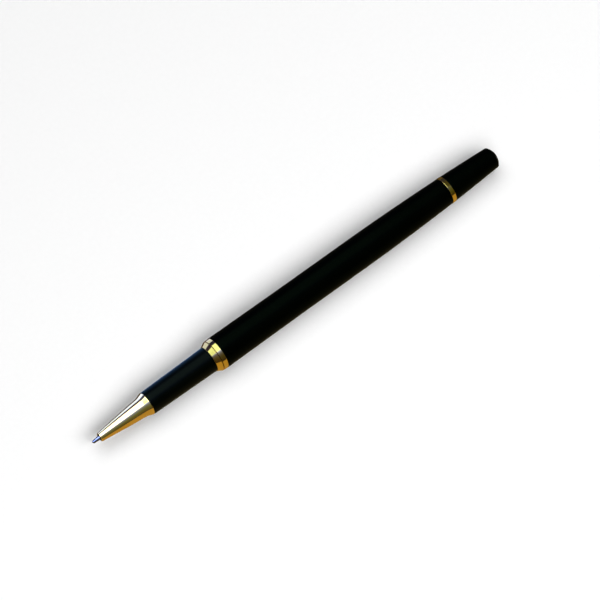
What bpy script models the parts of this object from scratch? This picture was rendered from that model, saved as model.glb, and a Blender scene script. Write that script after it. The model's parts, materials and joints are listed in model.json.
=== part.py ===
"""A slim rollerball pen, uncapped, lying on its side with its writing tip at -X.

The pen is built the way it comes apart: a screw-in front section carrying the refill, and a
barrel carrying the spring and the tail. Sizes below are millimetres, measured from the writing
tip along the pen's axis (x) and out from that axis (r); MM turns them into metres. The pen's
middle is at the world origin's x, and it touches the plane z = 0 with one flat facet.
"""

import math

import bmesh
import bpy
from mathutils import Matrix

MM = 0.001
FULL_TURN = 2 * math.pi

# Facets
SEGMENTS = 32  # around the casing and most of what is in it
FINE_SEGMENTS = 24  # around the thin pieces of the refill, and around the screw threads
SHARP_EDGE = math.radians(30)

# Overall sizes
LENGTH = 130.0
HALF_GAP = 0.02  # left on each side of a line between pieces that are pressed or glued together
JOINT_LINE = 0.17  # the dark line where the section unscrews from the barrel

# Places along the pen, from the tip
NOSE_MOUTH_X = 2.20
FLARE_X = 15.5
GRIP_X = 17.25
COLLAR_X = 36.9
SPLIT_X = 38.30
BARREL_X = 39.75
TAIL_RING_X = 113.15
TAIL_CAP_X = 114.32
DOME_X = 128.8

# Radii that the outside is drawn from
MOUTH_R = 4.40
BARREL_R = 4.25
TAIL_RING_R = 3.74
TAIL_CAP_R = 3.66
DOME_R = 2.92
DOME_RISE = 1.20
DOME_FLAT_R = 0.80
NOSE_LIP_R = 0.82
NOSE_TIP_R = 1.18
NOSE_BASE_R = 2.60
FLARE_R = 3.15
GRIP_FRONT_R = 3.18
GRIP_REAR_R = 3.46
COLLAR_FRONT_R = 3.58
COLLAR_REAR_R = 4.30

# Barrel wall
BARREL_WALL = 0.43
BUSHING_R = 3.92
LINER_R = 3.70
LINER_BORE_R = 3.10
LINER_X = (47.5, 109.0)

# Screw thread between the section and the barrel: single start, right handed
PITCH = 0.75
THREAD_TURNS = 7
THREAD_CORE_R = 3.25
THREAD_CREST_R = 3.55
NUT_ROOT_R = 3.65
NUT_CREST_R = 3.35
RIDGE_BED = 0.07  # how far a ridge is sunk into the wall that it stands on
RIDGE_HALF_ROOT = 0.23
RIDGE_HALF_CREST = 0.07
MALE_THREAD_X = 39.30
FEMALE_THREAD_X = MALE_THREAD_X + 1.5 * PITCH  # half a pitch out of step, so the ridges interleave

# Refill
BALL_R = 0.35
SOCKET_R = 0.37
NEEDLE_R = 0.47
POINT_R = 1.00
POINT_BORE_R = 0.55
WICK_X = 4.0
WICK_R = 0.45
HOLDER_R = 1.88
TUBE_R = 2.85
TUBE_BORE_R = 2.50
REFILL_END_X = 98.0

# Spring
SPRING_X = (98.05, 110.45)
SPRING_R = 1.90
WIRE_R = 0.25
SPRING_TURNS = 8
SPRING_STEPS = 16
WIRE_SIDES = 6

# Tail fixing
TAIL_BUSHING_X = 109.50
TAIL_SPIGOT_R = 2.65
STUD_R = 1.20
STUD_BORE_R = 1.25

AXIS_Z = MOUTH_R * math.cos(math.pi / SEGMENTS)  # the widest ring rests on one of its flat facets

FINISHES = {  # colour, metallic, roughness
    "gold": ((0.83, 0.60, 0.22), 1.0, 0.12),
    "black_lacquer": ((0.008, 0.008, 0.009), 0.0, 0.08),
    "satin_black": ((0.016, 0.017, 0.020), 0.0, 0.38),
    "stainless": ((0.62, 0.63, 0.66), 1.0, 0.25),
    "brass": ((0.72, 0.55, 0.28), 1.0, 0.35),
    "white_plastic": ((0.80, 0.80, 0.78), 0.0, 0.45),
    "clear_tube": ((0.78, 0.80, 0.80), 0.0, 0.30),
    "ink_fibre": ((0.05, 0.06, 0.16), 0.0, 0.95),
    "wick_fibre": ((0.07, 0.08, 0.20), 0.0, 0.90),
    "black_rubber": ((0.020, 0.020, 0.021), 0.0, 0.75),
    "spring_steel": ((0.55, 0.56, 0.58), 1.0, 0.28),
    "carbide": ((0.45, 0.46, 0.48), 1.0, 0.18),
}


def clear_scene():
    for thing in list(bpy.data.objects):
        bpy.data.objects.remove(thing, do_unlink=True)


def finish(name):
    """The material of that name, made the first time it is asked for."""
    found = bpy.data.materials.get(name)
    if found:
        return found
    colour, metallic, roughness = FINISHES[name]
    made = bpy.data.materials.new(name)
    made.use_nodes = True
    shader = made.node_tree.nodes["Principled BSDF"]
    shader.inputs["Base Color"].default_value = (*colour, 1.0)
    shader.inputs["Metallic"].default_value = metallic
    shader.inputs["Roughness"].default_value = roughness
    return made


def axis_empty(name, x, parent=None):
    """An empty on the pen's axis, which a body's pieces hang from. It turns and slides with them."""
    empty = bpy.data.objects.new(name, None)
    bpy.context.scene.collection.objects.link(empty)
    place = Matrix.Translation(((x - LENGTH / 2) * MM, 0, AXIS_Z * MM))
    if parent:
        empty.parent = parent
        place = Matrix.Translation((x * MM, 0, 0))
    empty.matrix_local = place
    return empty


def add_piece(name, bm, body, finish_name):
    """Closes off a mesh as a named piece of a body, shaded smooth across its facets."""
    bmesh.ops.recalc_face_normals(bm, faces=bm.faces)
    mesh = bpy.data.meshes.new(name)
    bm.to_mesh(mesh)
    bm.free()
    mesh.shade_smooth()
    mesh.set_sharp_from_angle(angle=SHARP_EDGE)
    mesh.materials.append(finish(finish_name))
    piece = bpy.data.objects.new(name, mesh)
    bpy.context.scene.collection.objects.link(piece)
    piece.parent = body
    return piece


def turned(name, outline, body, finish_name, segments=SEGMENTS):
    """Spins an outline of (x, r) points about the pen's axis.

    An outline whose ends both lie on the axis is a solid piece; any other is closed into a ring.
    """
    solid = outline[0][1] == 0 and outline[-1][1] == 0
    half_facet = math.pi / segments
    bm = bmesh.new()
    points = []
    for x, r in outline:
        y = r * math.sin(half_facet)
        z = -r * math.cos(half_facet)
        points.append(bm.verts.new((x * MM, y * MM, z * MM)))
    pairs = list(zip(points, points[1:]))
    if not solid:
        pairs.append((points[-1], points[0]))
    edges = [bm.edges.new(pair) for pair in pairs]
    bmesh.ops.spin(
        bm,
        geom=points + edges,
        cent=(0, 0, 0),
        axis=(1, 0, 0),
        angle=FULL_TURN,
        steps=segments,
        use_merge=True,
    )
    bmesh.ops.remove_doubles(bm, verts=bm.verts, dist=0.0005 * MM)
    return add_piece(name, bm, body, finish_name)


def skin(bm, rings):
    """Joins a row of equal rings of vertices into a tube and caps its two ends."""
    for near, far in zip(rings, rings[1:]):
        for i in range(len(near)):
            j = (i + 1) % len(near)
            bm.faces.new((near[i], near[j], far[j], far[i]))
    bm.faces.new(rings[0])
    bm.faces.new(rings[-1])


def helix_point(bm, x, r, turn):
    """A vertex at distance x along the pen, r out from its axis, and turned right handed about +X."""
    angle = turn * FULL_TURN
    return bm.verts.new((x * MM, r * math.cos(angle) * MM, r * math.sin(angle) * MM))


def thread_ridge(name, start_x, bed_r, crest_r, body):
    """A screw thread's single ridge, which rises from its bed over the first and last half turn."""
    bm = bmesh.new()
    rings = []
    steps = THREAD_TURNS * FINE_SEGMENTS
    ends = FINE_SEGMENTS // 2
    for i in range(steps + 1):
        turn = i / FINE_SEGMENTS
        rise = min(1.0, (i + 1) / ends, (steps - i + 1) / ends)
        top_r = bed_r + (crest_r - bed_r) * rise
        x = start_x + PITCH * turn
        section = (
            (-RIDGE_HALF_ROOT, bed_r),
            (-RIDGE_HALF_CREST, top_r),
            (RIDGE_HALF_CREST, top_r),
            (RIDGE_HALF_ROOT, bed_r),
        )
        rings.append([helix_point(bm, x + dx, r, turn + 0.5 / FINE_SEGMENTS) for dx, r in section])
    skin(bm, rings)
    ridge = add_piece(name, bm, body, "brass")
    ridge.hide_render = True
    ridge.display_type = "WIRE"
    return ridge


def fuse(piece, ridge):
    """Unites a piece with the ridge that stands on it."""
    union = piece.modifiers.new("thread", "BOOLEAN")
    union.operation = "UNION"
    union.solver = "EXACT"
    union.object = ridge


def barrel_radius(x):
    """The barrel flares a little to its mouth, runs straight, and draws in to its tail."""
    flare_ends, taper_begins = 66.0, 86.0
    flare = max(0.0, (flare_ends - x) / (flare_ends - BARREL_X)) ** 1.3
    taper = max(0.0, (x - taper_begins) / (TAIL_RING_X - taper_begins)) ** 1.7
    return BARREL_R + (MOUTH_R - BARREL_R) * flare - 0.55 * taper


def tail_radius(x):
    """The tail cap carries the barrel's taper on in a slow curve down to its domed end."""
    run = (x - TAIL_CAP_X) / (DOME_X - TAIL_CAP_X)
    drop = TAIL_CAP_R - DOME_R
    return TAIL_CAP_R - drop * (0.80 * run + 0.20 * run * run)


def nose_radius(x):
    """The nose is a long cone with a slight crown, from its mouth to the flare at its base."""
    run = (x - NOSE_MOUTH_X) / (FLARE_X - NOSE_MOUTH_X)
    return NOSE_TIP_R + (NOSE_BASE_R - NOSE_TIP_R) * run + 0.05 * math.sin(math.pi * run)


def stations(first, last, count):
    """That many evenly spaced places, both ends included."""
    return [first + (last - first) * i / (count - 1) for i in range(count)]


def writing_ball(body):
    """The carbide ball, about its own centre."""
    bm = bmesh.new()
    bmesh.ops.create_uvsphere(bm, u_segments=16, v_segments=8, radius=BALL_R * MM)
    return add_piece("writing_ball", bm, body, "carbide")


def ball_point(body):
    """The steel point: a rim that holds the ball in a round socket, a channel, and the wick's bore."""
    rim_x, shoulder_x, last = 0.22, 3.1, 12.0
    channel_r = 0.18
    begin = math.acos((rim_x - BALL_R) / SOCKET_R)
    end = math.asin(channel_r / SOCKET_R)
    socket = []
    for angle in stations(end, begin, 6):
        socket.append((BALL_R + SOCKET_R * math.cos(angle), SOCKET_R * math.sin(angle)))
    outside = [(rim_x, 0.40), (1.05, NEEDLE_R), (shoulder_x, NEEDLE_R + 0.20)]
    outside += [(shoulder_x + 0.4, POINT_R), (last, POINT_R)]
    inside = [(last, POINT_BORE_R), (WICK_X - 0.1, POINT_BORE_R), (WICK_X - 0.5, channel_r)]
    return turned("ball_point", outside + inside + socket, body, "stainless", FINE_SEGMENTS)


def point_holder(body):
    """The plastic holder: grips the steel point in front, plugs the ink tube behind."""
    outside = [
        (9.05, 1.25),
        (9.35, 1.32),
        (15.0, HOLDER_R),
        (38.1, HOLDER_R),
        (38.1, TUBE_BORE_R - 0.05),
        (44.0, TUBE_BORE_R - 0.05),
    ]
    inside = [
        (44.0, POINT_BORE_R),
        (12.1, POINT_BORE_R),
        (12.1, POINT_R + 0.05),
        (9.05, POINT_R + 0.05),
    ]
    return turned("point_holder", outside + inside, body, "white_plastic", FINE_SEGMENTS)


def feed_rod(body):
    """The fibre wick that carries ink from the reservoir to the ball."""
    last, sides = 47.9, 12
    outline = [(WICK_X, 0), (WICK_X, 0.35), (WICK_X + 0.15, WICK_R), (last, WICK_R), (last, 0)]
    return turned("feed_rod", outline, body, "wick_fibre", sides)


def ink_reservoir(body):
    """The fibre cartridge that holds the ink, bored at the front for the wick."""
    r = TUBE_BORE_R - 0.10
    outline = [(48.2, 0), (48.2, POINT_BORE_R), (44.5, POINT_BORE_R), (44.5, r), (94.5, r), (94.5, 0)]
    return turned("ink_reservoir", outline, body, "ink_fibre", FINE_SEGMENTS)


def refill_tube(body):
    """The ink tube, open at both ends."""
    outline = [
        (38.15, TUBE_R - 0.1),
        (38.25, TUBE_R),
        (97.15, TUBE_R),
        (97.15, TUBE_BORE_R),
        (38.15, TUBE_BORE_R),
    ]
    return turned("refill_tube", outline, body, "clear_tube")


def refill_plug(body):
    """The flanged plug that closes the tube, with its vent hole."""
    spigot_r, vent_r = TUBE_BORE_R - 0.05, 0.40
    outline = [
        (95.0, vent_r),
        (95.0, spigot_r - 0.15),
        (95.3, spigot_r),
        (97.2, spigot_r),
        (97.2, TUBE_R),
        (REFILL_END_X - 0.15, TUBE_R),
        (REFILL_END_X, TUBE_R - 0.15),
        (REFILL_END_X, vent_r),
    ]
    return turned("refill_plug", outline, body, "white_plastic")


def seat_o_ring(body):
    """The rubber ring, behind the nose, that stops the refill rattling."""
    middle_x, middle_r, thick, deep = 23.7, 2.265, 0.46, 0.335
    outline = []
    sides = 6
    for i in range(sides):
        angle = FULL_TURN * (i + 0.5) / sides
        outline.append((middle_x + thick * math.cos(angle), middle_r + deep * math.sin(angle)))
    return turned("seat_o_ring", outline, body, "black_rubber")


def nose_cone(body):
    """The gold nose: a long cone that flares out at its base, with a spigot for the grip."""
    lip, step_x, last = 0.38, GRIP_X - HALF_GAP, 23.0
    outside = [(NOSE_MOUTH_X, NOSE_LIP_R + 0.08), (NOSE_MOUTH_X + 0.12, NOSE_TIP_R - 0.11)]
    outside += [(x, nose_radius(x)) for x in stations(NOSE_MOUTH_X + lip, FLARE_X, 5)]
    outside += [
        (FLARE_X + 1.0, FLARE_R - 0.24),
        (step_x - 0.10, FLARE_R),
        (step_x, FLARE_R - 0.03),
        (step_x, 2.58),
        (last, 2.58),
    ]
    inside = [(last, 2.02), (15.0, 2.02), (9.3, 1.42), (9.0, 1.35), (9.0, 1.08), (3.0, 1.08)]
    inside += [(3.0, NOSE_LIP_R), (NOSE_MOUTH_X, NOSE_LIP_R)]
    return turned("nose_cone", outside + inside, body, "gold")


def grip_section(body):
    """The satin black grip, shouldered inside for the nose, the rubber ring and the coupler."""
    first, last = GRIP_X + HALF_GAP, COLLAR_X - HALF_GAP
    outline = [
        (first, GRIP_FRONT_R - 0.10),
        (first + 0.12, GRIP_FRONT_R),
        (last - 0.12, GRIP_REAR_R),
        (last, GRIP_REAR_R - 0.10),
        (last, 2.80),
        (29.9, 2.80),
        (29.9, 2.20),
        (24.3, 2.20),
        (24.3, 2.65),
        (first, 2.65),
    ]
    return turned("grip_section", outline, body, "satin_black")


def clutch_ring(body):
    """The front gold band of the collar, on the section: a short cone that a cap would grip."""
    first = COLLAR_X + HALF_GAP
    outline = [
        (first, COLLAR_FRONT_R - 0.06),
        (first + 0.06, COLLAR_FRONT_R),
        (SPLIT_X - 0.07, COLLAR_REAR_R),
        (SPLIT_X, COLLAR_REAR_R - 0.07),
        (SPLIT_X, THREAD_CORE_R),
        (first, THREAD_CORE_R),
    ]
    return turned("clutch_ring", outline, body, "gold")


def thread_coupler(body):
    """The brass coupler: a spigot in the grip, a seat for the clutch ring, and the male thread."""
    end_x = MALE_THREAD_X + THREAD_TURNS * PITCH + 0.6
    outline = [
        (30.0, 2.62),
        (30.15, 2.75),
        (COLLAR_X, 2.75),
        (COLLAR_X, 3.20),
        (SPLIT_X + 0.07, 3.20),
        (SPLIT_X + 0.12, THREAD_CORE_R),
        (end_x - 0.2, THREAD_CORE_R),
        (end_x, THREAD_CORE_R - 0.15),
        (end_x, 2.95),
        (37.5, 2.95),
        (37.2, 2.10),
        (30.0, 2.10),
    ]
    coupler = turned("thread_coupler", outline, body, "brass", FINE_SEGMENTS)
    ridge = thread_ridge(
        "male_ridge", MALE_THREAD_X, THREAD_CORE_R - RIDGE_BED, THREAD_CREST_R, body
    )
    fuse(coupler, ridge)
    return coupler


def mouth_ring(body):
    """The rear gold band of the collar, on the barrel's mouth."""
    first, last = SPLIT_X + JOINT_LINE, BARREL_X - HALF_GAP
    inner = BUSHING_R + 0.05
    outline = [
        (first, COLLAR_REAR_R - 0.07),
        (first + 0.07, COLLAR_REAR_R),
        (last - 0.07, MOUTH_R - 0.05),
        (last, MOUTH_R - 0.11),
        (last, inner),
        (first, inner),
    ]
    return turned("mouth_ring", outline, body, "gold")


def barrel_shell(body):
    """The lacquered barrel tube."""
    first, last = BARREL_X + HALF_GAP, TAIL_RING_X - HALF_GAP
    bends = [48.0, 58.0, 86.0, 93.0, 100.0, 107.0]
    outside = [(first, barrel_radius(first) - 0.05)]
    outside += [(x, barrel_radius(x)) for x in (first + 0.05, *bends, last - 0.05)]
    outside += [(last, barrel_radius(last) - 0.05)]
    bore = [(x, barrel_radius(x) - BARREL_WALL) for x in (last, *reversed(bends))]
    bore += [(first, BUSHING_R + 0.05)]
    return turned("barrel_shell", outside + bore, body, "black_lacquer")


def thread_bushing(body):
    """The brass bushing in the barrel's mouth, with the female thread."""
    first, last = SPLIT_X + JOINT_LINE + 0.05, LINER_X[0] - 0.5
    outer = BUSHING_R - 0.07
    outline = [
        (first, BUSHING_R),
        (BARREL_X, BUSHING_R),
        (BARREL_X + 1.0, outer),
        (last, outer),
        (last, NUT_ROOT_R),
        (first, NUT_ROOT_R),
    ]
    bushing = turned("thread_bushing", outline, body, "brass", FINE_SEGMENTS)
    ridge = thread_ridge(
        "female_ridge", FEMALE_THREAD_X, NUT_ROOT_R + RIDGE_BED, NUT_CREST_R, body
    )
    fuse(bushing, ridge)
    return bushing


def barrel_liner(body):
    """The plastic sleeve inside the barrel, which keeps the refill on the axis."""
    first, last = LINER_X
    outside = [(first, LINER_R)]
    for x in (92.0, 98.0, 103.5, last):
        outside.append((x, min(LINER_R, barrel_radius(x) - BARREL_WALL - 0.08)))
    inside = [(last, LINER_BORE_R), (first, LINER_BORE_R)]
    return turned("barrel_liner", outside + inside, body, "white_plastic")


def tail_bushing(body):
    """The brass plug in the barrel's tail: a cup for the spring, and a spigot for the tail pieces."""
    last = TAIL_RING_X - HALF_GAP
    outline = [
        (TAIL_BUSHING_X, 3.20),
        (last, 3.20),
        (last, TAIL_SPIGOT_R),
        (116.4, TAIL_SPIGOT_R),
        (116.4, STUD_BORE_R),
        (TAIL_BUSHING_X + 1.0, STUD_BORE_R),
        (TAIL_BUSHING_X + 1.0, 2.30),
        (TAIL_BUSHING_X, 2.30),
    ]
    return turned("tail_bushing", outline, body, "brass")


def tail_ring(body):
    """The thin gold ring between the barrel and the tail cap."""
    first, last, round_off = TAIL_RING_X + HALF_GAP, TAIL_CAP_X - HALF_GAP, 0.12
    inner = TAIL_SPIGOT_R + 0.05
    outline = [
        (first, TAIL_RING_R - round_off),
        (first + round_off, TAIL_RING_R),
        (last - round_off, TAIL_RING_R),
        (last, TAIL_RING_R - round_off),
        (last, inner),
        (first, inner),
    ]
    return turned("tail_ring", outline, body, "gold")


def tail_cap(body):
    """The black tail cap, which closes in a low dome with a small flat at its middle."""
    first, counterbore_x, bore_x = TAIL_CAP_X + HALF_GAP, 116.5, 124.0
    dome_r = (DOME_R * DOME_R + DOME_RISE * DOME_RISE) / (2 * DOME_RISE)
    flat_depth = math.sqrt(dome_r**2 - DOME_FLAT_R**2)
    outline = [
        (bore_x + 0.6, 0),
        (bore_x, STUD_BORE_R),
        (counterbore_x, STUD_BORE_R),
        (counterbore_x, TAIL_SPIGOT_R + 0.05),
        (first, TAIL_SPIGOT_R + 0.05),
        (first, TAIL_CAP_R - 0.05),
    ]
    outline += [(x, tail_radius(x)) for x in stations(first + 0.05, DOME_X, 5)]
    for r in stations(DOME_R - 0.10, DOME_FLAT_R, 4):
        outline.append((LENGTH - flat_depth + math.sqrt(dome_r**2 - r**2), r))
    outline.append((LENGTH, 0))
    return turned("tail_cap", outline, body, "black_lacquer")


def tail_stud(body):
    """The steel stud that draws the tail cap onto the bushing."""
    outline = [(112.2, 0), (112.2, 1.0), (112.4, STUD_R), (121.0, STUD_R), (121.2, 1.0), (121.2, 0)]
    return turned("tail_stud", outline, body, "stainless", FINE_SEGMENTS)


def refill_spring(body):
    """The compression spring behind the refill, with a closed coil at each end."""
    bm = bmesh.new()
    rings = []
    first, last = SPRING_X[0] + WIRE_R, SPRING_X[1] - WIRE_R
    closed_pitch = 2 * WIRE_R + 0.04
    open_pitch = (last - first - 2 * closed_pitch) / (SPRING_TURNS - 2)
    for i in range(SPRING_TURNS * SPRING_STEPS + 1):
        turn = i / SPRING_STEPS
        in_closed = min(turn, 1.0) + max(0.0, turn - (SPRING_TURNS - 1))
        x = first + closed_pitch * in_closed + open_pitch * (turn - in_closed)
        ring = []
        for k in range(WIRE_SIDES):
            angle = FULL_TURN * k / WIRE_SIDES
            ring.append(
                helix_point(bm, x + WIRE_R * math.sin(angle), SPRING_R + WIRE_R * math.cos(angle), turn)
            )
        rings.append(ring)
    skin(bm, rings)
    return add_piece("refill_spring", bm, body, "spring_steel")


def build_pen():
    clear_scene()
    barrel = axis_empty("barrel_axis", 0)
    seat = axis_empty("seat_ring_axis", 0)
    section = axis_empty("section_axis", 0, seat)
    refill = axis_empty("refill_axis", 0, seat)
    ball = axis_empty("ball_axis", BALL_R, refill)
    for make in (
        barrel_shell,
        mouth_ring,
        thread_bushing,
        barrel_liner,
        tail_bushing,
        tail_ring,
        tail_cap,
        tail_stud,
        refill_spring,
    ):
        make(barrel)
    seat_o_ring(seat)
    for make in (nose_cone, grip_section, clutch_ring, thread_coupler):
        make(section)
    for make in (ball_point, point_holder, feed_rod, ink_reservoir, refill_tube, refill_plug):
        make(refill)
    writing_ball(ball)


build_pen()
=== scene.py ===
import json
import math

import bmesh
import bpy
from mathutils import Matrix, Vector


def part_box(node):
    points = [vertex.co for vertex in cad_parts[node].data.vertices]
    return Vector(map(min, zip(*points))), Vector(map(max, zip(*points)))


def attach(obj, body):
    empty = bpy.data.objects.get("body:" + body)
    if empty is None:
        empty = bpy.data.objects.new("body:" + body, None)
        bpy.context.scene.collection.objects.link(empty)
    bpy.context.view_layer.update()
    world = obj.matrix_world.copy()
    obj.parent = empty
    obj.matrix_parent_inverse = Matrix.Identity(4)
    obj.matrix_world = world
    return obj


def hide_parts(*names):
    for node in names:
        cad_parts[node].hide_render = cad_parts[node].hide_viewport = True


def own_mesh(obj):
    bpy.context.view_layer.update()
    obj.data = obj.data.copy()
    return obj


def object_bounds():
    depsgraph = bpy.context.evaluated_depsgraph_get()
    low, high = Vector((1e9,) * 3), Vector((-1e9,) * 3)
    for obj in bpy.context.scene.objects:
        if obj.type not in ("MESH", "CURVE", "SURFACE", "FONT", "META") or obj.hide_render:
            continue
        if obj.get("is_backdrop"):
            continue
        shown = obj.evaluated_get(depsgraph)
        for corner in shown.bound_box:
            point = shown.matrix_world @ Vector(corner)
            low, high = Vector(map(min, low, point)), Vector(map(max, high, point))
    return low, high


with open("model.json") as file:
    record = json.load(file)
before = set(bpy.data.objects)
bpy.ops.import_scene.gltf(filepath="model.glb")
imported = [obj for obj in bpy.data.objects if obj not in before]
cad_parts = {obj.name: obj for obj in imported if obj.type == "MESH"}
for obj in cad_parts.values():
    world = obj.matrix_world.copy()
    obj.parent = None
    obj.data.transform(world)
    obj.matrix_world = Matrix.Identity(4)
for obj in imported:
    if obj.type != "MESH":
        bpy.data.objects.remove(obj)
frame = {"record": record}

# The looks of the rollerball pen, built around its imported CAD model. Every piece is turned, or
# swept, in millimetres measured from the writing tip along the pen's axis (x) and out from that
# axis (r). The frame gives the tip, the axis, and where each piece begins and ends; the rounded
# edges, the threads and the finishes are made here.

CAD_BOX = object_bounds()
MM = 0.001
FULL_TURN = 2 * math.pi
RECORD = frame["record"]
JOINTS = {joint["name"]: joint for joint in RECORD["behaviour"]["joints"]}
TIP_X = CAD_BOX[0].x
AXIS_Z = JOINTS["ball_roll"]["pos_m"][2]
BODY_OF = {n: body for body, nodes in RECORD["behaviour"]["bodies"].items() for n in nodes}

# How finely the pieces are made
SEGMENTS = 160  # around the casing and most of what is in it
THIN_SEGMENTS = 80  # around the thin pieces of the refill
THREAD_SEGMENTS = 64  # around the threaded pieces, and for each turn of a thread
COIL_STEPS = 48  # for each turn of the spring
WIRE_SIDES = 14
O_RING_SIDES = 20
SEAM = 0.0003 * MM  # corners closer than this become one when an outline has been spun
WELD = 0.001 * MM  # corners closer than this become one when a thread has been cut
FILLET_STEPS = 5
FILLET_REACH = 0.42  # the most of a side that the fillet at one of its ends may take
SHADING_MARGIN = 1.15  # where the point beyond each end of a fillet stands, in reaches
SHARP_EDGE = math.radians(32)

# Casing, in millimetres
JOINT_GAP = 0.04  # between pieces that are pressed or glued together
SOCKET_GAP = 0.05  # between a spigot and the socket it sits in
NOSE_LIP_R = 0.82
NOSE_TIP_R = 1.18
NOSE_BASE_R = 2.60
NOSE_FLARE_X = 15.5
NOSE_FLARE_R = 3.15
GRIP_FRONT_R = 3.18
GRIP_REAR_R = 3.46
COLLAR_FRONT_R = 3.58
COLLAR_REAR_R = 4.30
MOUTH_R = 4.40
BARREL_R = 4.25
BARREL_WALL = 0.43
TAIL_RING_R = 3.74
TAIL_CAP_R = 3.66
DOME_X = 128.8
DOME_R = 2.92
DOME_RISE = 1.20
BUSHING_R = 3.92
LINER_R = 3.70
SPIGOT_R = 2.65
STUD_HOLE_R = 1.25

# Screw thread between the section and the barrel
PITCH = 0.75
THREAD_TURNS = 7
RIDGE_BED = 0.07  # how far a ridge is sunk into the piece it stands on
THREAD_CORE_R = 3.25
THREAD_CREST_R = 3.55
NUT_ROOT_R = 3.65
NUT_CREST_R = 3.35
MALE_THREAD_X = 39.30
FEMALE_THREAD_X = MALE_THREAD_X + 1.5 * PITCH

# Refill and spring
BALL_R = 0.35
SOCKET_R = 0.37
NEEDLE_R = 0.47
POINT_R = 1.00
WICK_BORE_R = 0.55
HOLDER_R = 1.88
TUBE_R = 2.85
TUBE_BORE_R = 2.50
SPRING_R = 1.90
WIRE_R = 0.25
SPRING_TURNS = 8


# ---------------------------------------------------------------- shapes


def ends(node):
    """Where a CAD node begins and ends along the pen, in millimetres from the tip."""
    low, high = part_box(node)
    return (low.x - TIP_X) / MM, (high.x - TIP_X) / MM


def stations(first, last, count):
    """That many evenly spaced places, both ends included."""
    return [first + (last - first) * i / (count - 1) for i in range(count)]


def fillet(before, corner, after, radius):
    """The arc that rounds a corner of an outline, kept within its share of each side.

    Beyond each end of the arc stands one point more, so that smooth shading turns within the arc
    and leaves the long sides flat.
    """
    p, a, b = Vector(corner), Vector(before), Vector(after)
    to_a, to_b = a - p, b - p
    half = to_a.angle(to_b) / 2
    longest = FILLET_REACH * min(to_a.length, to_b.length)
    reach = min(radius / math.tan(half), longest)
    along_a, along_b = to_a.normalized() * reach, to_b.normalized() * reach
    centre = p + (along_a + along_b).normalized() * (reach / math.cos(half))
    from_centre, to_centre = p + along_a - centre, p + along_b - centre
    sweep = from_centre.angle(to_centre)
    points = [tuple(p + along_a * SHADING_MARGIN)]
    for i in range(FILLET_STEPS + 1):
        share = i / FILLET_STEPS
        near, far = math.sin((1 - share) * sweep), math.sin(share * sweep)
        offset = (from_centre * near + to_centre * far) / math.sin(sweep)
        points.append(tuple(centre + offset))
    points.append(tuple(p + along_b * SHADING_MARGIN))
    return points


def outline_of(corners):
    """An outline from corners given as (x, r) or (x, r, fillet radius)."""
    points = []
    count = len(corners)
    for i, corner in enumerate(corners):
        if len(corner) == 2:
            points.append(corner)
            continue
        before, after = corners[i - 1][:2], corners[(i + 1) % count][:2]
        points += fillet(before, corner[:2], after, corner[2])
    return points


def turned_mesh(corners, segments):
    """Spins an outline about the pen's axis: a solid if its ends are on the axis, else a ring."""
    outline = outline_of(corners)
    solid = outline[0][1] == 0 and outline[-1][1] == 0
    bm = bmesh.new()
    points = [bm.verts.new((TIP_X + x * MM, 0, AXIS_Z - r * MM)) for x, r in outline]
    pairs = list(zip(points, points[1:]))
    if not solid:
        pairs.append((points[-1], points[0]))
    edges = [bm.edges.new(pair) for pair in pairs]
    bmesh.ops.spin(
        bm,
        geom=points + edges,
        cent=(0, 0, AXIS_Z),
        axis=(1, 0, 0),
        angle=FULL_TURN,
        steps=segments,
        use_merge=True,
    )
    bmesh.ops.remove_doubles(bm, verts=bm.verts, dist=SEAM)
    return bm


def skin(bm, rings):
    """Joins a row of equal rings of vertices into a tube and caps its two ends."""
    for near, far in zip(rings, rings[1:]):
        for i in range(len(near)):
            j = (i + 1) % len(near)
            bm.faces.new((near[i], near[j], far[j], far[i]))
    bm.faces.new(rings[0])
    bm.faces.new(rings[-1])


def helix_vertex(bm, x, r, turn):
    """A vertex x along the pen and r out from its axis, turned right handed about +X."""
    angle = turn * FULL_TURN
    place = (TIP_X + x * MM, r * math.cos(angle) * MM, AXIS_Z + r * math.sin(angle) * MM)
    return bm.verts.new(place)


def ridge_mesh(start_x, turns, pitch, bed_r, crest_r):
    """A screw thread's ridge with a rounded crest, run out over half a turn at each end."""
    half_root, half_crest = 0.31 * pitch, 0.09 * pitch
    shape = ((-half_root, 0), (-half_crest * 1.5, 0.86), (-half_crest * 0.6, 1.0))
    shape += tuple((-dx, height) for dx, height in reversed(shape))
    steps, run_out = round(turns * THREAD_SEGMENTS), THREAD_SEGMENTS // 2
    bm = bmesh.new()
    rings = []
    for i in range(steps + 1):
        rise = min(1.0, (i + 1) / run_out, (steps - i + 1) / run_out)
        turn = i / THREAD_SEGMENTS
        ring = []
        for dx, height in shape:
            r = bed_r + (crest_r - bed_r) * rise * height
            ring.append(helix_vertex(bm, start_x + pitch * turn + dx, r, turn))
        rings.append(ring)
    skin(bm, rings)
    return bm


def object_from(name, bm):
    """A smooth shaded object from a mesh that is still being edited."""
    bmesh.ops.recalc_face_normals(bm, faces=bm.faces)
    mesh = bpy.data.meshes.new(name)
    bm.to_mesh(mesh)
    bm.free()
    mesh.shade_smooth()
    mesh.set_sharp_from_angle(angle=SHARP_EDGE)
    made = bpy.data.objects.new(name, mesh)
    bpy.context.scene.collection.objects.link(made)
    return made


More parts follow.
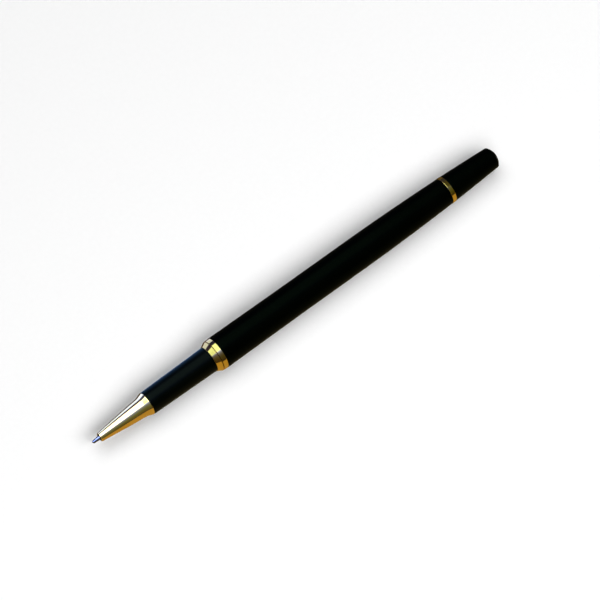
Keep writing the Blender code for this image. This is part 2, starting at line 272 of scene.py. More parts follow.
def cut_thread(piece, ridge):
    """Unites a turned piece with its thread's ridge, and leaves one closed mesh."""
    union = piece.modifiers.new("thread", "BOOLEAN")
    union.operation = "UNION"
    union.solver = "EXACT"
    union.object = ridge
    graph = bpy.context.evaluated_depsgraph_get()
    mesh = bpy.data.meshes.new_from_object(piece.evaluated_get(graph))
    bm = bmesh.new()
    bm.from_mesh(mesh)
    bmesh.ops.remove_doubles(bm, verts=bm.verts, dist=WELD)
    bmesh.ops.dissolve_degenerate(bm, edges=bm.edges, dist=WELD)
    bmesh.ops.triangulate(bm, faces=bm.faces)
    bm.to_mesh(mesh)
    bm.free()
    piece.modifiers.clear()
    piece.data = mesh
    mesh.shade_smooth()
    mesh.set_sharp_from_angle(angle=SHARP_EDGE)
    bpy.data.objects.remove(ridge)


def stand_in_for(node, piece, finish):
    """The piece takes a CAD node's place: its body, and its finish."""
    piece.data.materials.clear()
    piece.data.materials.append(finish)
    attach(piece, BODY_OF[node])
    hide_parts(node)
    return piece


def turned(node, corners, finish, segments=SEGMENTS):
    """A turned piece that stands for a CAD node."""
    piece = object_from(node + "_fine", turned_mesh(corners, segments))
    return stand_in_for(node, piece, finish)


# ---------------------------------------------------------------- finishes


def new_finish(name, colour, roughness, metallic=0.0, **sockets):
    """A Principled material; returns it with its node tree and shader for the detail to go on."""
    material = bpy.data.materials.new(name)
    material.use_nodes = True
    tree = material.node_tree
    shader = tree.nodes["Principled BSDF"]
    shader.inputs["Base Color"].default_value = (*colour, 1)
    shader.inputs["Roughness"].default_value = roughness
    shader.inputs["Metallic"].default_value = metallic
    for socket, value in sockets.items():
        shader.inputs[socket.replace("_", " ")].default_value = value
    return material, tree, shader


def noise(tree, scale, detail=3.0, rough=0.5):
    """Noise over the piece's own coordinates, with its scale along and across the pen, in 1/m."""
    place = tree.nodes.new("ShaderNodeTexCoord")
    mapping = tree.nodes.new("ShaderNodeMapping")
    mapping.inputs["Scale"].default_value = (scale[0], scale[1], scale[1])
    tree.links.new(place.outputs["Object"], mapping.inputs["Vector"])
    texture = tree.nodes.new("ShaderNodeTexNoise")
    texture.inputs["Scale"].default_value = 1.0
    texture.inputs["Detail"].default_value = detail
    texture.inputs["Roughness"].default_value = rough
    tree.links.new(mapping.outputs["Vector"], texture.inputs["Vector"])
    return texture.outputs["Fac"]


def spread(tree, factor, low, high):
    """Noise from about 0.3 to 0.7 spread over low to high."""
    node = tree.nodes.new("ShaderNodeMapRange")
    node.inputs["From Min"].default_value = 0.3
    node.inputs["From Max"].default_value = 0.7
    node.inputs["To Min"].default_value = low
    node.inputs["To Max"].default_value = high
    tree.links.new(factor, node.inputs["Value"])
    return node.outputs["Result"]


def two_tone(tree, factor, dark, light):
    """A colour that wanders between two."""
    ramp = tree.nodes.new("ShaderNodeValToRGB")
    ramp.color_ramp.elements[0].position = 0.32
    ramp.color_ramp.elements[0].color = (*dark, 1)
    ramp.color_ramp.elements[1].position = 0.68
    ramp.color_ramp.elements[1].color = (*light, 1)
    tree.links.new(factor, ramp.inputs["Fac"])
    return ramp.outputs["Color"]


def raise_surface(tree, shader, heights):
    """Stacks bumps, each given as (height, depth in metres, strength), onto the shader."""
    below = None
    for height, depth, strength in heights:
        bump = tree.nodes.new("ShaderNodeBump")
        bump.inputs["Distance"].default_value = depth
        bump.inputs["Strength"].default_value = strength
        tree.links.new(height, bump.inputs["Height"])
        if below:
            tree.links.new(below, bump.inputs["Normal"])
        below = bump.outputs["Normal"]
    tree.links.new(below, shader.inputs["Normal"])


def turned_metal(name, dark, light, rough, ring_depth):
    """Metal off a lathe: fine rings round it, faint handling marks, a little colour variation."""
    finish, tree, shader = new_finish(name, light, rough[0], metallic=1.0)
    rings = noise(tree, (14000, 500), detail=2)
    marks = noise(tree, (900, 2600), detail=6, rough=0.65)
    cloud = noise(tree, (220, 220), detail=2)
    tree.links.new(two_tone(tree, cloud, dark, light), shader.inputs["Base Color"])
    tree.links.new(spread(tree, marks, *rough), shader.inputs["Roughness"])
    raise_surface(tree, shader, [(rings, ring_depth, 0.5), (marks, ring_depth * 0.6, 0.3)])
    return finish


def moulded_plastic(name, dark, light, rough, grain_depth, **sockets):
    """Moulded plastic: a fine even grain and slightly uneven gloss."""
    finish, tree, shader = new_finish(name, light, rough[0], **sockets)
    grain = noise(tree, (9000, 9000), detail=2)
    cloud = noise(tree, (300, 300), detail=4)
    tree.links.new(two_tone(tree, cloud, dark, light), shader.inputs["Base Color"])
    tree.links.new(spread(tree, cloud, *rough), shader.inputs["Roughness"])
    raise_surface(tree, shader, [(grain, grain_depth, 0.6)])
    return finish


def lacquer(name):
    """Black lacquer: a deep base, a faint gloss with slight orange peel, and hairline marks."""
    finish, tree, shader = new_finish(
        name, (0.0003, 0.0006, 0.0002), 0.30,
        Specular_IOR_Level=0.035, Specular_Tint=(0.7, 1.0, 0.35, 1.0),
    )
    peel = noise(tree, (700, 700), detail=1)
    hairlines = noise(tree, (500, 9000), detail=4, rough=0.7)
    cloud = noise(tree, (150, 150), detail=3)
    tone = two_tone(tree, cloud, (0.0002, 0.0005, 0.0002), (0.0004, 0.0007, 0.0003))
    tree.links.new(tone, shader.inputs["Base Color"])
    tree.links.new(spread(tree, hairlines, 0.22, 0.36), shader.inputs["Roughness"])
    raise_surface(tree, shader, [(peel, 4e-6, 0.25), (hairlines, 5e-7, 0.4)])
    return finish


def fibre(name, dark, light):
    """Bonded fibre: strands along the pen, with no shine."""
    finish, tree, shader = new_finish(name, light, 0.92, Specular_IOR_Level=0.2)
    strands = noise(tree, (350, 9000), detail=4, rough=0.7)
    tree.links.new(two_tone(tree, strands, dark, light), shader.inputs["Base Color"])
    tree.links.new(spread(tree, strands, 0.86, 0.98), shader.inputs["Roughness"])
    raise_surface(tree, shader, [(strands, 2.5e-5, 0.8)])
    return finish


def paper(name):
    """The pale sheet that the pen lies on."""
    finish, tree, shader = new_finish(name, (0.93, 0.93, 0.93), 0.9, Specular_IOR_Level=0.1)
    tooth = noise(tree, (900, 900), detail=4)
    tree.links.new(
        two_tone(tree, tooth, (0.925, 0.925, 0.925), (0.935, 0.935, 0.935)),
        shader.inputs["Base Color"],
    )
    raise_surface(tree, shader, [(tooth, 1e-5, 0.1)])
    return finish


NOSE_GOLD = turned_metal("nose_gold", (0.88, 0.56, 0.12), (0.94, 0.61, 0.15), (0.03, 0.06), 6e-8)
BAND_GOLD = turned_metal("band_gold", (0.84, 0.54, 0.09), (0.90, 0.58, 0.11), (0.05, 0.09), 1e-7)
STEEL = turned_metal("point_steel", (0.21, 0.205, 0.19), (0.27, 0.26, 0.24), (0.10, 0.18), 3e-7)
CARBIDE = turned_metal("ball_carbide", (0.42, 0.43, 0.45), (0.50, 0.51, 0.53), (0.08, 0.14), 2e-7)
BRASS = turned_metal("bare_brass", (0.74, 0.46, 0.12), (0.86, 0.57, 0.18), (0.22, 0.38), 2e-6)
WIRE = turned_metal("spring_wire", (0.48, 0.49, 0.51), (0.60, 0.61, 0.63), (0.20, 0.34), 1e-6)
LACQUER = lacquer("black_lacquer")
GRIP = moulded_plastic(
    "satin_black", (0.0003, 0.0008, 0.0004), (0.0005, 0.0010, 0.0006), (0.28, 0.34), 1.0e-6,
    Specular_IOR_Level=0.08, Specular_Tint=(0.95, 1.0, 0.5, 1.0),
)
WHITE_PLASTIC = moulded_plastic(
    "white_plastic", (0.74, 0.74, 0.71), (0.82, 0.82, 0.80), (0.38, 0.50), 2e-6
)
CLEAR_PLASTIC = moulded_plastic(
    "clear_tube", (0.80, 0.83, 0.83), (0.90, 0.92, 0.92), (0.16, 0.28), 1e-6,
    Transmission_Weight=0.6,
)
RUBBER = moulded_plastic(
    "black_rubber", (0.014, 0.014, 0.015), (0.024, 0.024, 0.025), (0.7, 0.82), 5e-6
)
INK_FIBRE = fibre("ink_fibre", (0.020, 0.024, 0.075), (0.050, 0.060, 0.160))
WICK_FIBRE = fibre("wick_fibre", (0.030, 0.034, 0.090), (0.075, 0.085, 0.200))
PAPER = paper("paper")


# ---------------------------------------------------------------- the casing


def nose_radius(x, first):
    """The nose is a long cone with a slight crown."""
    run = (x - first) / (NOSE_FLARE_X - first)
    return NOSE_TIP_R + (NOSE_BASE_R - NOSE_TIP_R) * run + 0.05 * math.sin(math.pi * run)


def barrel_radius(x, first, last):
    """The barrel flares a little to its mouth, runs straight, and draws in to its tail."""
    flare_ends, taper_begins = 66.0, 86.0
    flare = max(0.0, (flare_ends - x) / (flare_ends - first)) ** 1.3
    taper = max(0.0, (x - taper_begins) / (last - taper_begins)) ** 1.7
    return BARREL_R + (MOUTH_R - BARREL_R) * flare - 0.55 * taper


def make_nose_cone():
    first, last = ends("nose_cone")
    step_x = ends("grip_section")[0] - JOINT_GAP
    spigot_r, seat_r, throat_r = 2.58, 2.02, 1.08
    seat_x, funnel_x, lip_x = 15.0, 9.0, 3.0
    corners = [(first, NOSE_LIP_R + 0.04), (first, NOSE_TIP_R, 0.34)]
    corners += [(x, nose_radius(x, first)) for x in stations(first + 0.5, NOSE_FLARE_X - 0.9, 14)]
    corners += [
        (NOSE_FLARE_X, NOSE_BASE_R, 3.5),
        (step_x - 0.22, NOSE_FLARE_R, 0.4),
        (step_x, NOSE_FLARE_R + 0.01, 0.09),
        (step_x, spigot_r, 0.05),
        (last - 0.25, spigot_r, 0.1),
        (last, spigot_r - 0.13, 0.1),
        (last, seat_r, 0.05),
        (seat_x, seat_r, 0.3),
        (funnel_x + 0.3, throat_r + 0.34),
        (funnel_x, throat_r + 0.27, 0.05),
        (funnel_x, throat_r, 0.05),
        (lip_x, throat_r, 0.05),
        (lip_x, NOSE_LIP_R, 0.05),
        (first, NOSE_LIP_R, 0.04),
    ]
    return turned("nose_cone", corners, NOSE_GOLD)


def make_grip_section():
    first, last = ends("grip_section")
    length = last - first
    front_bore_r, seat_r, rear_bore_r = 2.65, 2.20, 2.80
    front_seat_x, rear_seat_x = 24.3, 29.9
    corners = [(first, GRIP_FRONT_R - 0.02, 0.10)]
    for share in stations(0.04, 0.96, 12):
        r = GRIP_FRONT_R + (GRIP_REAR_R - GRIP_FRONT_R) * share
        corners.append((first + length * share, r))
    corners += [
        (last, GRIP_REAR_R, 0.10),
        (last, rear_bore_r, 0.05),
        (rear_seat_x, rear_bore_r),
        (rear_seat_x, seat_r),
        (front_seat_x, seat_r, 0.05),
        (front_seat_x, front_bore_r),
        (first, front_bore_r, 0.05),
    ]
    return turned("grip_section", corners, GRIP)


def make_clutch_ring():
    first, last = ends("clutch_ring")
    corners = [
        (first, COLLAR_FRONT_R - 0.03, 0.06),
        (first + 0.16, COLLAR_FRONT_R + 0.06, 0.2),
        (last - 0.05, COLLAR_REAR_R, 0.09),
        (last, COLLAR_REAR_R - 0.10, 0.04),
        (last, THREAD_CORE_R, 0.04),
        (first, THREAD_CORE_R, 0.04),
    ]
    return turned("clutch_ring", corners, BAND_GOLD)


def make_mouth_ring():
    first, last = ends("mouth_ring")
    corners = [
        (first, COLLAR_REAR_R, 0.03),
        (last, MOUTH_R - 0.03, 0.05),
        (last, BUSHING_R + SOCKET_GAP, 0.03),
        (first, BUSHING_R + SOCKET_GAP, 0.03),
    ]
    return turned("mouth_ring", corners, BAND_GOLD)


def make_barrel_shell():
    first, last = ends("barrel_shell")
    even_from = 48.0  # behind here the wall is equally thick
    outside = [(x, barrel_radius(x, first, last)) for x in stations(first + 0.3, last - 0.3, 42)]
    bore = [(x, r - BARREL_WALL) for x, r in outside[::-3] if x > even_from]
    corners = [
        (first, barrel_radius(first, first, last) - 0.01, 0.07),
        *outside,
        (last, barrel_radius(last, first, last) - 0.01, 0.07),
        (last, bore[0][1] - 0.01, 0.04),
        *bore,
        (first, BUSHING_R + SOCKET_GAP, 0.04),
    ]
    return turned("barrel_shell", corners, LACQUER)


def make_tail_ring():
    first, last = ends("tail_ring")
    corners = [
        (first, TAIL_RING_R + 0.01, 0.08),
        (last, TAIL_RING_R - 0.01, 0.08),
        (last, SPIGOT_R + SOCKET_GAP, 0.04),
        (first, SPIGOT_R + SOCKET_GAP, 0.04),
    ]
    return turned("tail_ring", corners, BAND_GOLD)


def make_tail_cap():
    first, last = ends("tail_cap")
    dome_r = (DOME_R**2 + DOME_RISE**2) / (2 * DOME_RISE)
    spigot_x, bore_x = 116.5, 124.0
    corners = [
        (bore_x + 0.6, 0),
        (bore_x, STUD_HOLE_R, 0.1),
        (spigot_x, STUD_HOLE_R, 0.1),
        (spigot_x, SPIGOT_R + SOCKET_GAP, 0.05),
        (first, SPIGOT_R + SOCKET_GAP, 0.05),
        (first, TAIL_CAP_R - 0.01, 0.07),
    ]
    for x in stations(first + 0.3, DOME_X - 0.5, 14):
        run = (x - first) / (DOME_X - first)
        corners.append((x, TAIL_CAP_R - (TAIL_CAP_R - DOME_R) * (0.8 * run + 0.2 * run * run)))
    corners.append((DOME_X, DOME_R, 0.32))
    for r in stations(DOME_R - 0.45, 0.2, 9):
        corners.append((last - dome_r + math.sqrt(dome_r**2 - r**2), r))
    corners.append((last, 0))
    return turned("tail_cap", corners, LACQUER)


# ---------------------------------------------------------------- inside the casing


def make_thread_coupler():
    first, last = ends("thread_coupler")
    seat_x, ring_end = ends("grip_section")[1] + JOINT_GAP / 2, ends("clutch_ring")[1]
    spigot_r, seat_r, front_bore_r, rear_bore_r, step_x = 2.75, 3.20, 2.10, 2.95, 37.2
    corners = [
        (first, spigot_r, 0.12),
        (seat_x, spigot_r, 0.03),
        (seat_x, seat_r, 0.03),
        (ring_end + 0.07, seat_r),
        (ring_end + 0.12, THREAD_CORE_R),
        (last - 0.05, THREAD_CORE_R, 0.2),
        (last, THREAD_CORE_R - 0.15, 0.05),
        (last, rear_bore_r, 0.05),
        (step_x + 0.3, rear_bore_r),
        (step_x, front_bore_r, 0.1),
        (first, front_bore_r, 0.05),
    ]
    piece = turned("thread_coupler", corners, BRASS, THREAD_SEGMENTS)
    bed_r = THREAD_CORE_R - RIDGE_BED
    ridge = ridge_mesh(MALE_THREAD_X, THREAD_TURNS, PITCH, bed_r, THREAD_CREST_R)
    cut_thread(piece, object_from("male_ridge", ridge))
    return piece


def make_thread_bushing():
    first, last = ends("thread_bushing")
    mouth_x, rear_r = ends("barrel_shell")[0], BUSHING_R - 0.07
    corners = [
        (first, BUSHING_R, 0.04),
        (mouth_x, BUSHING_R),
        (mouth_x + 1.0, rear_r),
        (last, rear_r, 0.1),
        (last, NUT_ROOT_R, 0.05),
        (first, NUT_ROOT_R, 0.05),
    ]
    piece = turned("thread_bushing", corners, BRASS, THREAD_SEGMENTS)
    bed_r = NUT_ROOT_R + RIDGE_BED
    ridge = ridge_mesh(FEMALE_THREAD_X, THREAD_TURNS, PITCH, bed_r, NUT_CREST_R)
    cut_thread(piece, object_from("female_ridge", ridge))
    return piece


def make_barrel_liner():
    first, last = ends("barrel_liner")
    shell_first, shell_last = ends("barrel_shell")
    bore_r, taper_x, clearance = 3.10, 90.0, 0.08
    corners = [(first, LINER_R, 0.1)]
    for x in stations(taper_x, last - 0.4, 12):
        inside = barrel_radius(x, shell_first, shell_last) - BARREL_WALL
        corners.append((x, min(LINER_R, inside - clearance)))
    corners += [(last, corners[-1][1] - 0.03, 0.05), (last, bore_r, 0.05), (first, bore_r, 0.1)]
    return turned("barrel_liner", corners, WHITE_PLASTIC)


def make_tail_bushing():
    first, last = ends("tail_bushing")
    shoulder_x, floor_x = ends("barrel_shell")[1], first + 1.0
    plug_r, cup_r = 3.20, 2.30
    corners = [
        (first, plug_r, 0.15),
        (shoulder_x, plug_r, 0.05),
        (shoulder_x, SPIGOT_R, 0.05),
        (last, SPIGOT_R, 0.15),
        (last, STUD_HOLE_R, 0.05),
        (floor_x, STUD_HOLE_R, 0.1),
        (floor_x, cup_r, 0.1),
        (first, cup_r, 0.1),
    ]
    return turned("tail_bushing", corners, BRASS)


def make_tail_stud():
    first, last = ends("tail_stud")
    end_r, core_r, crest_r, pitch, plain_end = 0.92, 0.99, 1.19, 0.45, 0.4
    corners = [
        (first, 0),
        (first, end_r, 0.08),
        (first + 0.15, core_r),
        (last - 0.15, core_r),
        (last, end_r, 0.08),
        (last, 0),
    ]
    piece = turned("tail_stud", corners, STEEL, THREAD_SEGMENTS)
    turns = round((last - first - 2 * plain_end) / pitch)
    ridge = ridge_mesh(first + plain_end, turns, pitch, core_r - 0.05, crest_r)
    cut_thread(piece, object_from("stud_ridge", ridge))
    return piece


def make_refill_spring():
    """A compression spring with a closed coil at each end, made at its resting length; in the pen
    it shortens as the refill is pressed.
    """
    first, last = ends("refill_spring")
    bm = bmesh.new()
    rings = []
    begin, end = first + WIRE_R, last - WIRE_R
    closed_pitch = 2 * WIRE_R + 0.04
    open_pitch = (end - begin - 2 * closed_pitch) / (SPRING_TURNS - 2)
    for i in range(SPRING_TURNS * COIL_STEPS + 1):
        turn = i / COIL_STEPS
        closed = min(turn, 1.0) + max(0.0, turn - (SPRING_TURNS - 1))
        x = begin + closed_pitch * closed + open_pitch * (turn - closed)
        ring = []
        for k in range(WIRE_SIDES):
            angle = FULL_TURN * k / WIRE_SIDES
            r = SPRING_R + WIRE_R * math.cos(angle)
            ring.append(helix_vertex(bm, x + WIRE_R * math.sin(angle), r, turn))
        rings.append(ring)
    skin(bm, rings)
    piece = object_from("refill_spring_fine", bm)
    stand_in_for("refill_spring", piece, WIRE)
    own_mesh(piece)
    return piece


def make_seat_o_ring():
    first, last = ends("seat_o_ring")
    middle, thick = (first + last) / 2, (last - first) / 2
    middle_r, deep = 2.265, 0.335
    corners = []
    for i in range(O_RING_SIDES):
        angle = FULL_TURN * (i + 0.5) / O_RING_SIDES
        corners.append((middle + thick * math.cos(angle), middle_r + deep * math.sin(angle)))
    return turned("seat_o_ring", corners, RUBBER)


# ---------------------------------------------------------------- the refill


def make_writing_ball():
    bm = bmesh.new()
    bmesh.ops.create_uvsphere(bm, u_segments=64, v_segments=32, radius=BALL_R * MM)
    centre = Vector(JOINTS["ball_roll"]["pos_m"])
    bmesh.ops.translate(bm, verts=bm.verts, vec=centre)
    return stand_in_for("writing_ball", object_from("writing_ball_fine", bm), CARBIDE)


def make_ball_point():
    """The steel point: its rim is spun over the ball, behind it a long needle and a shank."""
    first, last = ends("ball_point")
    wick_x = ends("feed_rod")[0]
    channel_r, shank_x, groove_x, groove_r = 0.18, 3.5, 5.2, POINT_R - 0.04
    socket_end = math.acos((first - BALL_R) / SOCKET_R)
    socket = []
    for angle in stations(math.asin(channel_r / SOCKET_R), socket_end, 14):
        socket.append((BALL_R + SOCKET_R * math.cos(angle), SOCKET_R * math.sin(angle)))
    corners = [
        (first, 0.385, 0.02),
        (first + 0.14, 0.425, 0.1),
        (1.05, NEEDLE_R, 0.5),
        (shank_x - 0.4, NEEDLE_R + 0.20, 0.1),
        (shank_x, POINT_R, 0.1),
        (groove_x, POINT_R, 0.02),
        (groove_x + 0.05, groove_r, 0.02),
        (groove_x + 0.25, groove_r, 0.02),
        (groove_x + 0.3, POINT_R, 0.02),
        (last, POINT_R, 0.1),
        (last, WICK_BORE_R, 0.05),
        (wick_x - 0.1, WICK_BORE_R, 0.05),
        (wick_x - 0.5, channel_r),
    ]
    return turned("ball_point", corners + socket, STEEL, THIN_SEGMENTS)


def make_point_holder():
    """The plastic holder, with three barbs that hold the tube."""
    first, last = ends("point_holder")
    shoulder_x = ends("refill_tube")[0] - SOCKET_GAP
    barb_r, barb_depth, barbs = TUBE_BORE_R - SOCKET_GAP, 0.18, 3
    end_r, cone_x, body_x, point_end = 1.25, 9.35, 15.0, 12.1
    corners = [
        (first, end_r, 0.04),
        (cone_x, end_r + 0.07),
        (body_x, HOLDER_R, 3.0),
        (shoulder_x, HOLDER_R),
        (shoulder_x, barb_r, 0.05),
    ]
    barb_length = (last - shoulder_x) / (barbs + 1)
    for i in range(barbs):
        x = shoulder_x + barb_length * (i + 1)
        corners.append((x, barb_r, 0.04))
        corners.append((x, barb_r - barb_depth, 0.04))
        corners.append((x + barb_length * 0.8, barb_r, 0.1))
    corners += [
        (last, barb_r - 0.1, 0.05),
        (last, WICK_BORE_R, 0.05),
        (point_end, WICK_BORE_R),
        (point_end, POINT_R + SOCKET_GAP),
        (first, POINT_R + SOCKET_GAP, 0.03),
    ]
    return turned("point_holder", corners, WHITE_PLASTIC, THIN_SEGMENTS)


def make_feed_rod():
    first, last = ends("feed_rod")
    r, tip_r = 0.45, 0.30
    corners = [(first, 0), (first, tip_r, 0.05), (first + 0.2, r, 0.1), (last, r, 0.06), (last, 0)]
    return turned("feed_rod", corners, WICK_FIBRE, THIN_SEGMENTS)


def make_ink_reservoir():
    """The fibre cartridge, nipped in a little at rings along its wrap."""
    first, last = ends("ink_reservoir")
    r, bore_end = TUBE_BORE_R - 0.10, 48.2
    from_end, half_nip, nip_depth = 6, 0.5, 0.07
    corners = [
        (bore_end, 0),
        (bore_end, WICK_BORE_R, 0.05),
        (first, WICK_BORE_R, 0.05),
        (first, r, 0.2),
    ]
    for x in stations(first + from_end, last - from_end, 5):
        corners += [(x - half_nip, r, 0.3), (x, r - nip_depth, 0.3), (x + half_nip, r, 0.3)]
    corners += [(last, r, 0.2), (last, 0)]
    return turned("ink_reservoir", corners, INK_FIBRE, THIN_SEGMENTS)


def make_refill_tube():
    first, last = ends("refill_tube")
    corners = [
        (first, TUBE_R, 0.10),
        (last, TUBE_R, 0.03),
        (last, TUBE_BORE_R, 0.03),
        (first, TUBE_BORE_R, 0.05),
    ]
    return turned("refill_tube", corners, CLEAR_PLASTIC)


def make_refill_plug():
    first, last = ends("refill_plug")
    flange_x = ends("refill_tube")[1] + SOCKET_GAP
    spigot_r, vent_r = TUBE_BORE_R - SOCKET_GAP, 0.40
    corners = [
        (first, vent_r, 0.04),
        (first, spigot_r, 0.25),
        (flange_x, spigot_r, 0.03),
        (flange_x, TUBE_R, 0.05),
        (last, TUBE_R, 0.15),
        (last, vent_r, 0.08),
    ]
    return turned("refill_plug", corners, WHITE_PLASTIC, THIN_SEGMENTS)


# ---------------------------------------------------------------- camera, light and floor

CAMERA_AZIMUTH = math.radians(-38.7)
CAMERA_ELEVATION = math.radians(63.1)
CAMERA_DISTANCE = 1.30
CAMERA_LENS = 309.4  # on the usual 36 mm wide sensor
AIM_RIGHT, AIM_UP = 0.85, -0.79  # where the camera points, beside the pen's middle, in millimetres


def add_camera():
    a, e = CAMERA_AZIMUTH, CAMERA_ELEVATION
    back = Vector((math.sin(a) * math.cos(e), -math.cos(a) * math.cos(e), math.sin(e)))
    right = Vector((math.cos(a), math.sin(a), 0))
    up = back.cross(right)
    middle = (CAD_BOX[0] + CAD_BOX[1]) / 2
    aim = middle + (right * AIM_RIGHT + up * AIM_UP) * MM
    data = bpy.data.cameras.new("camera")
    data.lens = CAMERA_LENS
    data.clip_start, data.clip_end = 0.05, 20
    camera = bpy.data.objects.new("camera", data)
    bpy.context.scene.collection.objects.link(camera)
    camera.location = aim + back * CAMERA_DISTANCE
    camera.rotation_mode = "QUATERNION"
    camera.rotation_quaternion = (-back).to_track_quat("-Z", "Y")
    bpy.context.scene.camera = camera


def add_softbox(name, lean, distance, size, power):
    """A soft light aimed at the pen, that many degrees from straight up towards the near side."""
    lean = math.radians(lean)
    data = bpy.data.lights.new(name, "AREA")
    data.shape = "RECTANGLE"
    data.size, data.size_y = size
    data.energy = power
    light = bpy.data.objects.new(name, data)
    bpy.context.scene.collection.objects.link(light)
    light.location = Vector((0, -math.sin(lean), math.cos(lean))) * distance
    light.rotation_euler = (lean, 0, 0)
    light.visible_camera = False
    light.visible_glossy = False


def first_bounce(tree, paths):
    """1 where the eye sees something in a reflection, 0 where that light goes on to the floor."""
    node = tree.nodes.new("ShaderNodeMath")
    node.operation, node.use_clamp = "SUBTRACT", True
    node.inputs[0].default_value = 1
    tree.links.new(paths.outputs["Diffuse Depth"], node.inputs[1])
    return node.outputs["Value"]


def add_card(name, near, far, span, colour, strength, pieces):
    """A glowing card on the far side of the pen that shows only as a reflection in the pieces.

    Its near and far edges are given as (y, z), and its span from the tip, in millimetres.
    """
    data = bpy.data.lights.new(name, "AREA")
    data.shape = "RECTANGLE"
    data.use_nodes = True
    glow = data.node_tree.nodes["Emission"]
    glow.inputs["Color"].default_value = (*colour, 1)
    paths = data.node_tree.nodes.new("ShaderNodeLightPath")
    data.node_tree.links.new(first_bounce(data.node_tree, paths), glow.inputs["Strength"])
    near, far = Vector((0, *near)) * MM, Vector((0, *far)) * MM
    first, last = span
    data.size, data.size_y = (last - first) * MM, (far - near).length
    data.energy = strength * math.pi * data.size * data.size_y
    card = bpy.data.objects.new(name, data)
    bpy.context.scene.collection.objects.link(card)
    card.location = (near + far) / 2 + Vector((TIP_X + (first + last) / 2 * MM, 0, 0))
    slope = math.atan2(far.z - near.z, far.y - near.y)
    card.rotation_euler = (slope + math.pi, 0, 0)
    card.visible_camera = False
    card.visible_diffuse = False
    listed = bpy.data.collections.new(name + "_shows_in")
    for piece in pieces:
        listed.objects.link(piece)
    card.light_linking.receiver_collection = listed


def ramp_over(tree, value, low, high, tones):
    """A colour for each value from low to high, through the given (value, colour) tones."""
    share = tree.nodes.new("ShaderNodeMapRange")
    share.inputs["From Min"].default_value = low
    share.inputs["From Max"].default_value = high
    tree.links.new(value, share.inputs["Value"])
    ramp = tree.nodes.new("ShaderNodeValToRGB")
    elements = ramp.color_ramp.elements
    while len(elements) < len(tones):
        elements.new(0.5)
    for element, (place, colour) in zip(elements, tones):
        element.position = (place - low) / (high - low)
        element.color = (*colour, 1)
    tree.links.new(share.outputs["Result"], ramp.inputs["Fac"])
    return ramp.outputs["Color"]


def combined(tree, operation, first, second):
    """Two colours added or multiplied."""
    node = tree.nodes.new("ShaderNodeVectorMath")
    node.operation = operation
    tree.links.new(first, node.inputs[0])
    if isinstance(second, tuple):
        node.inputs[1].default_value = second
    else:
        tree.links.new(second, node.inputs[1])
    return node.outputs["Vector"]


# The studio that the pen reflects. Each part of it has a brightness, then its colours round the
# pen, in degrees from straight up (the near side is positive), and then what those are multiplied
# by for how far a reflection leans along the pen, from -1 at the tip to 1 at the tail.
WALLS = (
    1.0,
    (
        (-180, (0.30, 0.30, 0.30)),
        (-100, (0.16, 0.16, 0.20)),
        (-84, (0.09, 0.12, 0.80)),
        (-50, (0.09, 0.12, 0.80)),
        (-41, (0.12, 0.15, 0.35)),
        (30, (0.20, 0.29, 0.50)),
        (42, (0.20, 0.29, 0.52)),
        (51, (0.19, 0.26, 0.33)),
        (63, (0.16, 0.20, 0.17)),
        (75, (0.15, 0.17, 0.18)),
        (87, (0.11, 0.11, 0.11)),
        (180, (0.30, 0.30, 0.30)),
    ),
    (
        (-0.47, (0.62, 0.46, 0.40)),
        (-0.42, (1, 1, 1)),
        (0.10, (1, 1, 1)),
        (0.14, (0.62, 0.46, 0.40)),
        (0.20, (0.40, 0.40, 0.40)),
        (0.26, (0.20, 0.20, 0.20)),
        (0.31, (0.62, 0.56, 0.25)),
    ),
)
WINDOW = (
    12.0,
    (
        (-48, (0, 0, 0)),
        (-41, (0.35, 0.55, 1.00)),
        (8, (0.35, 0.55, 1.00)),
        (15, (0, 0, 0)),
    ),
    (
        (-1, (0.02, 0.02, 0.02)),
        (-0.60, (0.24, 0.24, 0.24)),
        (-0.42, (0.27, 0.27, 0.27)),
        (-0.30, (0.60, 0.55, 0.80)),
        (-0.16, (0.80, 0.68, 0.80)),
        (0.115, (0.80, 0.68, 0.80)),
        (0.135, (0.27, 0.27, 0.27)),
        (0.185, (0.27, 0.27, 0.27)),
        (0.215, (0.48, 0.50, 0.36)),
        (0.25, (0.34, 0.36, 0.26)),
        (0.27, (0, 0, 0)),
    ),
)
SKY = (
    5.5,
    (
        (8, (0, 0, 0)),
        (13, (0.14, 0.21, 0.95)),
        (18, (0.075, 0.12, 0.70)),
        (24, (0.025, 0.045, 0.32)),
        (32, (0.010, 0.018, 0.11)),
        (42, (0.001, 0.001, 0.02)),
        (52, (0, 0, 0)),
    ),
    (
        (-0.8, (0.2, 0.2, 0.2)),
        (-0.5, (1, 1, 1)),
        (0.19, (1, 1, 1)),
        (0.25, (0.1, 0.1, 0.1)),
    ),
)
FLOOR_AMBIENT = 0.012  # the little even light that the world gives everything else
MIX_FACTOR, MIX_A, MIX_B, MIX_COLOUR = 0, 6, 7, 2  # a Mix node's sockets when it mixes colours


def studio_part(tree, around, along, part):
    """One part of the studio: its colours round the pen, dimmed along it, at its brightness."""
    brightness, tones_around, tones_along = part
    colour = ramp_over(tree, around, -180, 180, tones_around)
    dimmed = combined(tree, "MULTIPLY", colour, ramp_over(tree, along, -1, 1, tones_along))
    return combined(tree, "MULTIPLY", dimmed, (brightness,) * 3)


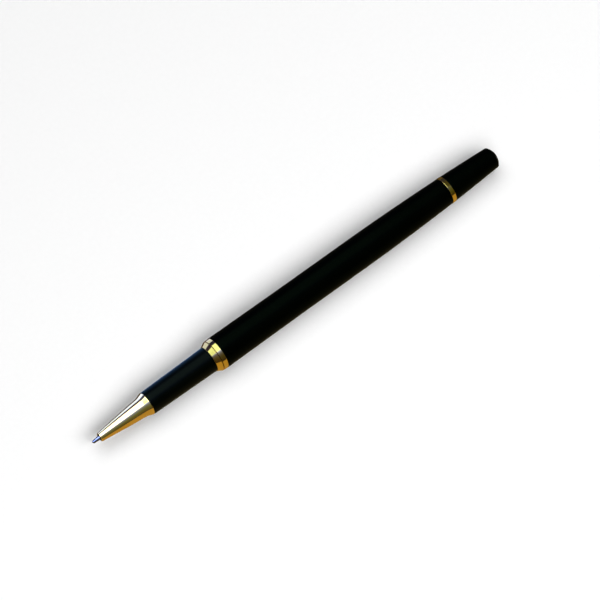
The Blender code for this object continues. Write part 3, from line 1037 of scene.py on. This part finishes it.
def add_world():
    """The studio round the pen. It shows in reflections only, beside a faint even light.

    The walls go all the way round. The window is over the pen and stops short of the far wall; a
    reflection that leans towards the tail misses it, and one that leans far towards the tip finds
    it dim. The sky is a blue strip along the window's near edge, fading towards the near side.
    """
    world = bpy.data.worlds.new("studio")
    world.use_nodes = True
    bpy.context.scene.world = world
    tree = world.node_tree
    place = tree.nodes.new("ShaderNodeTexCoord")
    split = tree.nodes.new("ShaderNodeSeparateXYZ")
    tree.links.new(place.outputs["Generated"], split.inputs["Vector"])
    lean = tree.nodes.new("ShaderNodeMath")
    lean.operation = "ARCTAN2"
    tree.links.new(split.outputs["Y"], lean.inputs[0])
    tree.links.new(split.outputs["Z"], lean.inputs[1])
    degrees = tree.nodes.new("ShaderNodeMath")
    degrees.operation = "MULTIPLY"
    degrees.inputs[1].default_value = -180 / math.pi
    tree.links.new(lean.outputs["Value"], degrees.inputs[0])
    around, along = degrees.outputs["Value"], split.outputs["X"]
    walls, window, sky = (studio_part(tree, around, along, part) for part in (WALLS, WINDOW, SKY))
    studio = combined(tree, "ADD", walls, combined(tree, "ADD", window, sky))
    paths = tree.nodes.new("ShaderNodeLightPath")
    reflected = tree.nodes.new("ShaderNodeMath")
    reflected.operation = "MULTIPLY"
    tree.links.new(paths.outputs["Is Glossy Ray"], reflected.inputs[0])
    tree.links.new(first_bounce(tree, paths), reflected.inputs[1])
    mix = tree.nodes.new("ShaderNodeMix")
    mix.data_type = "RGBA"
    mix.inputs[MIX_A].default_value = (FLOOR_AMBIENT, FLOOR_AMBIENT, FLOOR_AMBIENT, 1)
    tree.links.new(reflected.outputs["Value"], mix.inputs[MIX_FACTOR])
    tree.links.new(studio, mix.inputs[MIX_B])
    tree.links.new(mix.outputs[MIX_COLOUR], tree.nodes["Background"].inputs["Color"])


def add_painted_reflection_card(name, side, colour):
    """A glowing card on the floor, at the pen's near (-1) or far (+1) side, seen only in
    reflections; its colour is a painted reflection of the floor beside the pen, in painted shade.
    """
    half_width, stretch, gap, lift = 0.5, 2.0, 0.6 * MM, 0.1 * MM
    bm = bmesh.new()
    bmesh.ops.create_grid(bm, x_segments=1, y_segments=1, size=half_width)
    bmesh.ops.scale(bm, vec=(stretch, 1.0, 1.0), verts=bm.verts)
    card = object_from(name, bm)
    card.location = (0, side * (half_width + gap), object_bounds()[0].z + lift)
    # The card's glow is painted light: it stands in for the floor in the pen's shade, as the pieces
    # reflect it.
    finish, tree, shader = new_finish(name, (0, 0, 0), 1.0, Specular_IOR_Level=0)
    shader.inputs["Emission Color"].default_value = (*colour, 1)
    paths = tree.nodes.new("ShaderNodeLightPath")
    tree.links.new(first_bounce(tree, paths), shader.inputs["Emission Strength"])
    card.data.materials.append(finish)
    card.visible_camera = False
    card.visible_diffuse = False
    card.visible_transmission = False
    card.visible_shadow = False
    card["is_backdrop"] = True


def add_floor():
    """A wide pale sheet, which the barrel's widest ring rests on."""
    half_width = 6.0
    bm = bmesh.new()
    bmesh.ops.create_grid(bm, x_segments=8, y_segments=8, size=half_width)
    floor = object_from("floor", bm)
    floor.location.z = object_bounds()[0].z
    floor.data.materials.append(PAPER)
    floor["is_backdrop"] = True


nose = make_nose_cone()
rings = [make_clutch_ring(), make_mouth_ring()]
make_tail_ring()
grip = make_grip_section()
make_barrel_shell()
make_tail_cap()
make_thread_coupler()
make_thread_bushing()
make_barrel_liner()
make_tail_bushing()
make_tail_stud()
make_refill_spring()
make_seat_o_ring()
make_writing_ball()
make_ball_point()
make_point_holder()
make_feed_rod()
make_ink_reservoir()
make_refill_tube()
make_refill_plug()

add_camera()
add_world()
add_floor()
# Painted reflections of the floor in painted shade: warm and dim on the near side, darker on the
# far side.
add_painted_reflection_card("near_painted_reflection", -1, (0.52, 0.42, 0.22))
add_painted_reflection_card("far_painted_reflection", 1, (0.14, 0.13, 0.10))
add_softbox("key_light", lean=42, distance=0.9, size=(1.04, 0.45), power=7.75)
add_softbox("fill_light", lean=-15, distance=0.9, size=(1.04, 1.12), power=6.2)
add_card("nose_glow", (20, 0.4), (100, 39), (-10, 60), (0.15, 0.25, 1.0), 6.5, [nose])
add_card("ring_glow", (15, 0.4), (100, 35), (-50, 80), (0.17, 0.26, 0.9), 3.8, rings)
add_card("grip_glow", (6, 0.4), (100, 34), (-10, 100), (0.15, 0.42, 1.0), 1.5, [grip])

bpy.context.scene.view_settings.view_transform = "Standard"
bpy.context.scene.view_settings.gamma = 0.87
